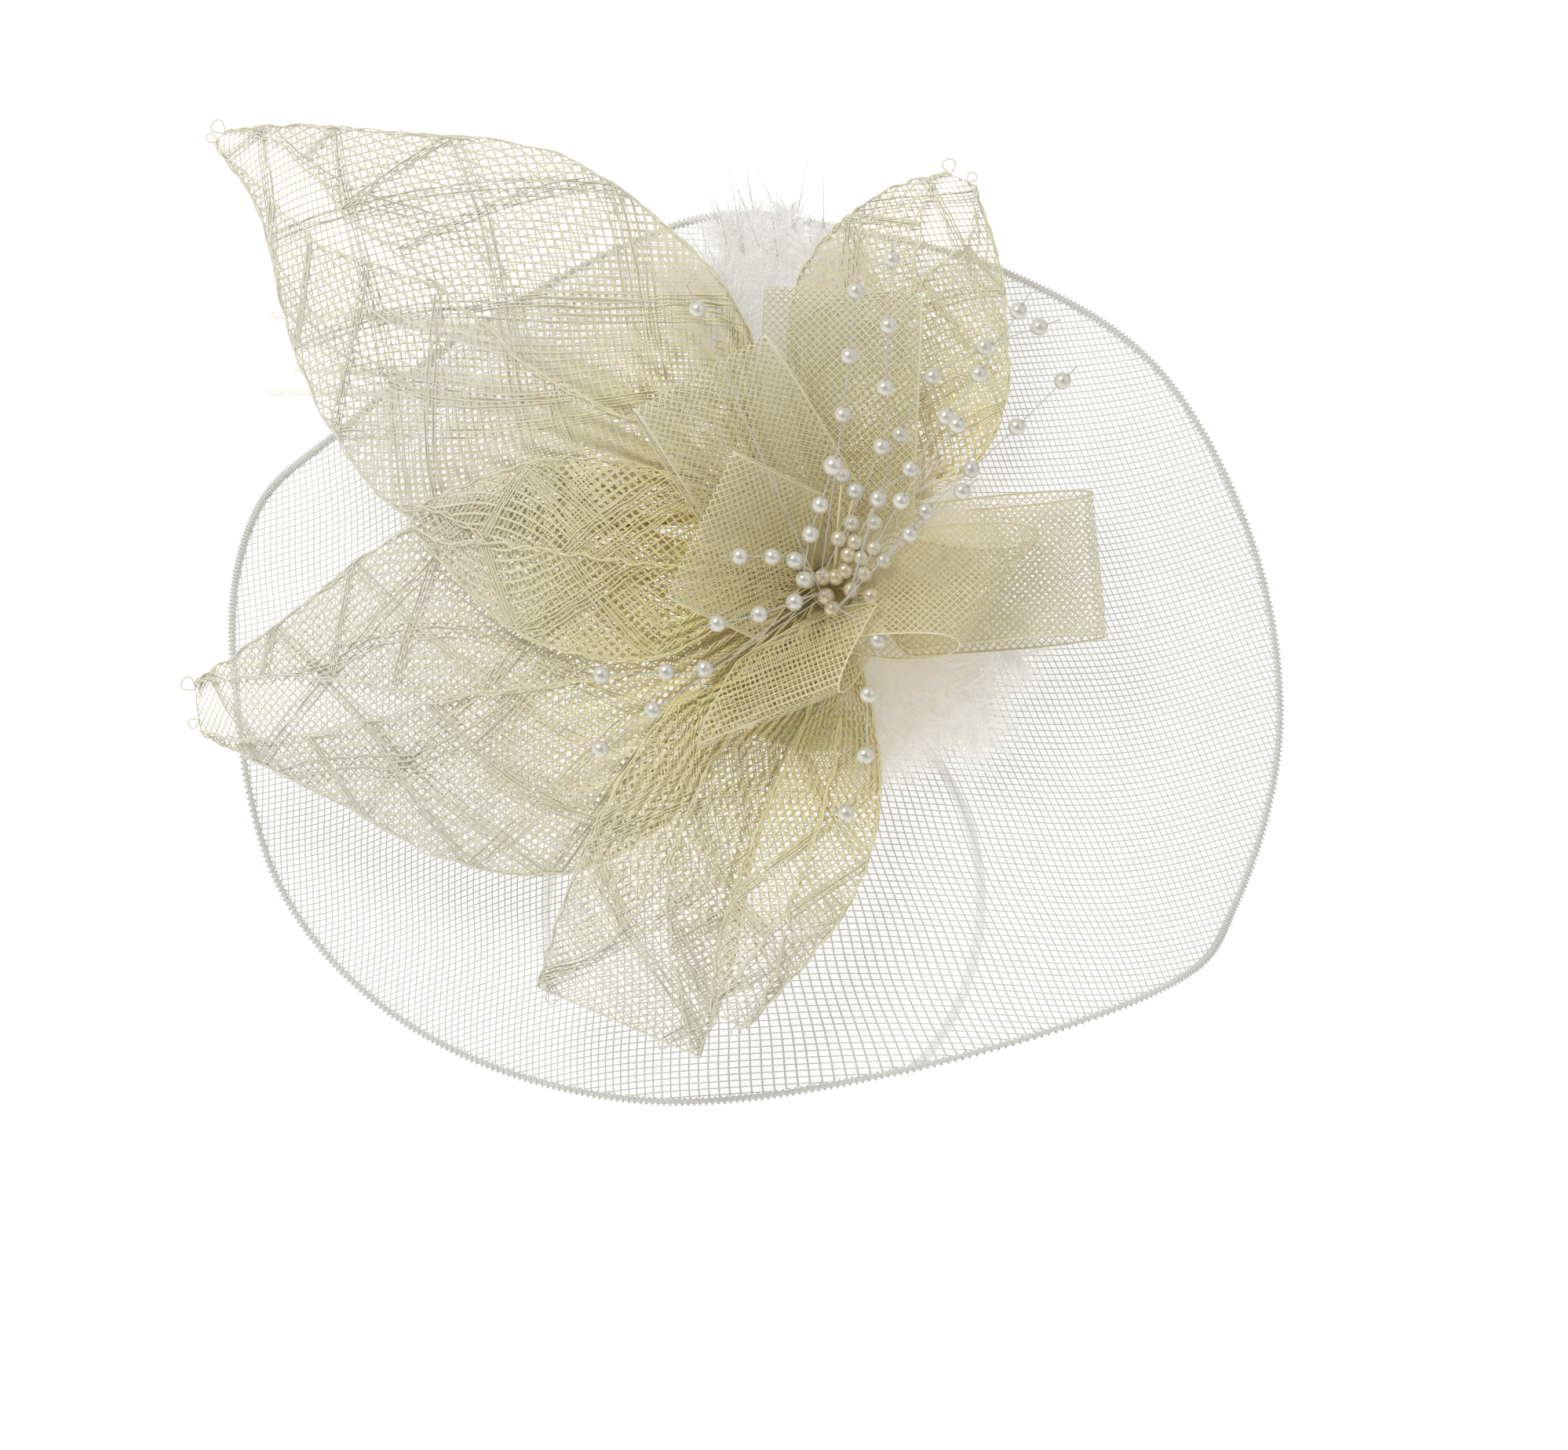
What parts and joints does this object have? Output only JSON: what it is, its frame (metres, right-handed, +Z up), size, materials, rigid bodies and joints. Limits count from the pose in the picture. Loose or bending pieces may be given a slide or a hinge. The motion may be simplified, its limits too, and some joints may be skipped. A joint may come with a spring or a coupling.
{
  "type": "fascinator headpiece",
  "caption": "Crin saucer brim with sinamay leaves, crin ribbon loops, feathers and pearl sprays, swivelling on a slim satin-wrapped wire headband.",
  "frame": {"origin": "under the crown of the headband, on its centre line, where it meets the head", "axes": "+Z up out of the head, +X to the right along the width of the headband, -Y towards the front, the side that the trim faces"},
  "size_m": [0.3841, 0.1765, 0.2936],
  "materials": {
    "satin": "satin ribbon wrapped tightly round spring wire",
    "felt": "matt wool felt",
    "tape": "matt waxed floral tape",
    "net": "open nylon crin net, slightly shiny threads",
    "edging": "overlocked nylon stitches",
    "sinamay": "stiffened open weave with thick window-pane threads",
    "crin": "fine diagonal nylon mesh ribbon, semi-gloss",
    "feather": "soft matt down and stripped quills",
    "pearl": "pearlescent gloss beads on clear nylon"
  },
  "bodies": {
    "headband": {"headband_crown": "satin"},
    "arm_left": {"headband_arm_left": "satin", "headband_tip_left": "satin"},
    "arm_right": {"headband_arm_right": "satin", "headband_tip_right": "satin"},
    "trim": {"base_pad": "felt", "band_sleeve": "felt", "bound_stem": "tape", "brim_net": "net", "brim_edge": "edging", "leaf_top_left": "sinamay", "leaf_left_lower": "sinamay", "leaf_left_upper": "sinamay", "leaf_bottom_left": "sinamay", "leaf_bottom_right": "sinamay", "leaf_top_right": "sinamay", "crin_loop_top_left": "crin", "crin_loop_left": "crin", "crin_loop_top": "crin", "crin_loop_right_upper": "crin", "crin_loop_right": "crin", "crin_loop_bottom": "crin", "crin_loop_back": "crin", "marabou_top": "feather", "marabou_right": "feather", "marabou_lower_right": "feather", "biot_feathers_left": "feather", "pearl_spray_right_1": "pearl", "pearl_spray_right_2": "pearl", "pearl_spray_right_3": "pearl", "pearl_spray_right_4": "pearl", "pearl_spray_right_5": "pearl", "pearl_spray_top_1": "pearl", "pearl_spray_top_2": "pearl", "pearl_spray_front": "pearl", "pearl_spray_top_left": "pearl", "pearl_spray_left_1": "pearl", "pearl_spray_left_2": "pearl", "pearl_spray_left_3": "pearl", "pearl_spray_left_4": "pearl", "pearl_spray_bottom": "pearl", "stamen_cluster": "pearl"}
  },
  "joints": [
    {"name": "trim_swing", "type": "hinge", "parent": "headband", "child": "trim", "pos_m": [0, 0, 0.00136], "axis": [-1, 0, 0], "range_deg": [0, 62]},
    {"name": "arm_left_spread", "type": "hinge", "parent": "headband", "child": "arm_left", "pos_m": [-0.0431, 0, -0.01672], "axis": [0, 1, 0], "range_deg": [0, 10], "stiffness_Nm_per_rad": 1.2},
    {"name": "arm_right_spread", "type": "hinge", "parent": "headband", "child": "arm_right", "pos_m": [0.0431, 0, -0.01672], "axis": [0, -1, 0], "range_deg": [0, 10], "stiffness_Nm_per_rad": 1.2}
  ]
}
